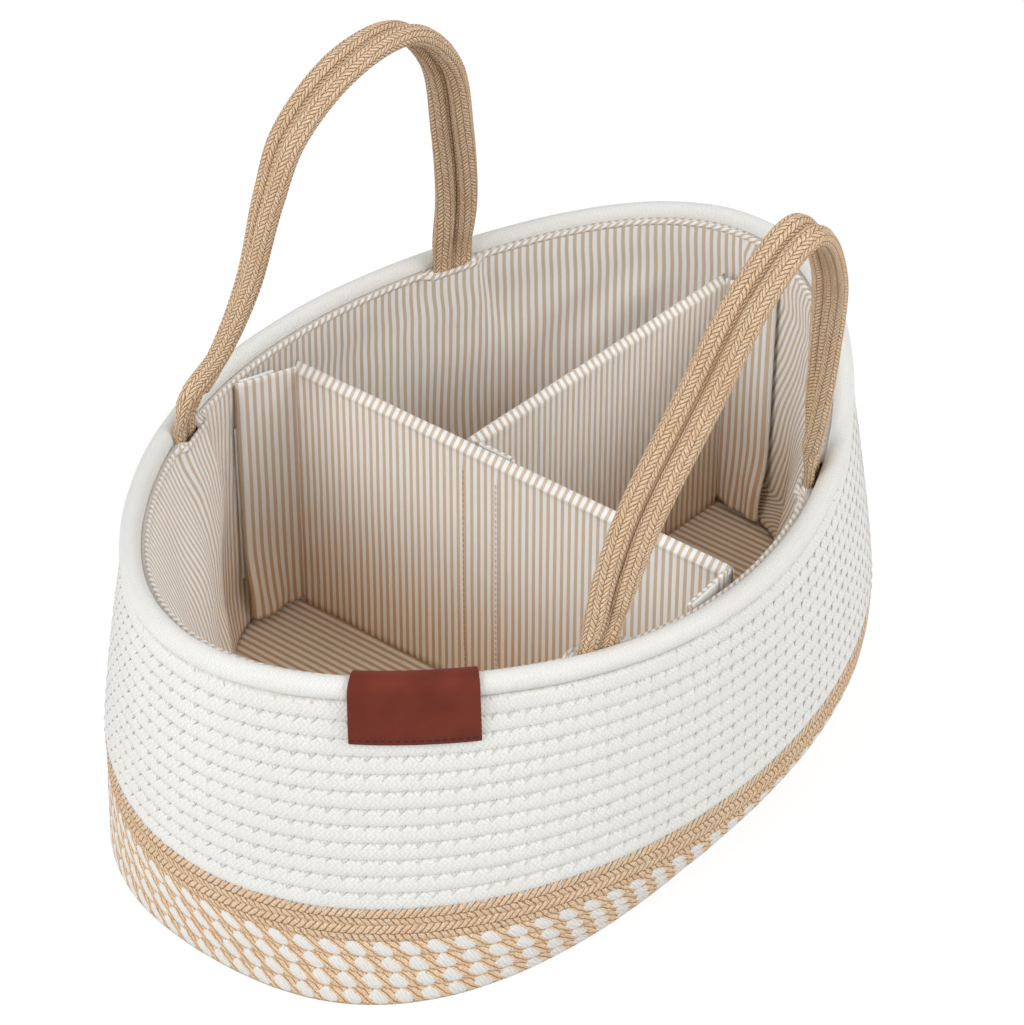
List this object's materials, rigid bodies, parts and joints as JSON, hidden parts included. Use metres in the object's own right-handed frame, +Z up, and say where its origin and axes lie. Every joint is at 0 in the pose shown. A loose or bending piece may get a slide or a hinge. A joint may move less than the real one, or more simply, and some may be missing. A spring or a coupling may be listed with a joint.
{
  "type": "diaper caddy",
  "caption": "Oval coiled-rope storage caddy with a striped cotton lining, braided carrying handles, a leather tag and lift-out dividers held by hook and loop tape.",
  "frame": {"origin": "middle of the underside, on the surface the caddy stands on", "axes": "+X along the length, away from the undivided compartment; +Y across; +Z up"},
  "size_m": [0.38, 0.283, 0.2977],
  "materials": {
    "white_rope": "matt woven cotton rope, zigzag stitched",
    "two_tone_rope": "matt rope of jute with white cotton strands",
    "jute": "matt fuzzy jute braid",
    "lining": "matt cotton with fine beige and white stripes",
    "leather": "satin, stitched",
    "tape": "matt hook and loop tape",
    "board": "plain stiffener board, hidden in its cover"
  },
  "bodies": {
    "basket": {"base_coil": "two_tone_rope", "two_tone_courses": "two_tone_rope", "jute_courses": "jute", "white_courses": "white_rope", "rim_rope": "white_rope", "lining_wall": "lining", "lining_floor": "lining", "lining_loop_tape_left": "tape", "lining_loop_tape_right": "tape", "lining_loop_tape_end": "tape", "leather_tag": "leather", "handle_left_near_end": "jute", "handle_left_far_end": "jute", "handle_right_near_end": "jute", "handle_right_far_end": "jute"},
    "handle_left": {"handle_left_outer_braid": "jute", "handle_left_inner_braid": "jute"},
    "handle_right": {"handle_right_outer_braid": "jute", "handle_right_inner_braid": "jute"},
    "main_divider": {"main_panel_cover": "lining", "main_panel_board": "board", "main_panel_loop_tape": "tape"},
    "main_flap_left": {"main_left_flap": "lining", "main_left_hook_tape": "tape"},
    "main_flap_right": {"main_right_flap": "lining", "main_right_hook_tape": "tape"},
    "side_divider": {"side_panel_cover": "lining", "side_panel_board": "board"},
    "side_flap_near": {"side_near_flap": "lining", "side_near_hook_tape": "tape"},
    "side_flap_far": {"side_far_flap": "lining", "side_far_hook_tape": "tape"}
  },
  "joints": [
    {"name": "handle_left_swing", "type": "hinge", "parent": "basket", "child": "handle_left", "pos_m": [0.01425, 0.1034, 0.1553], "axis": [-0.9967, 0.0818, 0], "range_deg": [-30, 90]},
    {"name": "handle_right_swing", "type": "hinge", "parent": "basket", "child": "handle_right", "pos_m": [-0.0015, -0.1077, 0.1553], "axis": [1, -0.0089, 0], "range_deg": [-48, 75]},
    {"name": "main_divider_lift", "type": "slide", "parent": "basket", "child": "main_divider", "axis": [0, 0, 1], "range_m": [0, 0.075]},
    {"name": "main_flap_left_fold", "type": "hinge", "parent": "main_divider", "child": "main_flap_left", "pos_m": [-0.00455, 0.1065, 0.074], "axis": [0, 0, 1], "range_deg": [0, 95]},
    {"name": "main_flap_right_fold", "type": "hinge", "parent": "main_divider", "child": "main_flap_right", "pos_m": [-0.00455, -0.1155, 0.074], "axis": [0, 0, -1], "range_deg": [0, 75]},
    {"name": "side_divider_lift", "type": "slide", "parent": "basket", "child": "side_divider", "axis": [0, 0, 1], "range_m": [0, 0.16]},
    {"name": "side_flap_near_fold", "type": "hinge", "parent": "side_divider", "child": "side_flap_near", "pos_m": [0.00745, 0.01595, 0.074], "axis": [0, 0, 1], "range_deg": [0, 75]},
    {"name": "side_flap_far_fold", "type": "hinge", "parent": "side_divider", "child": "side_flap_far", "pos_m": [0.1676, 0.00195, 0.074], "axis": [0, 0, -1], "range_deg": [0, 75]}
  ]
}
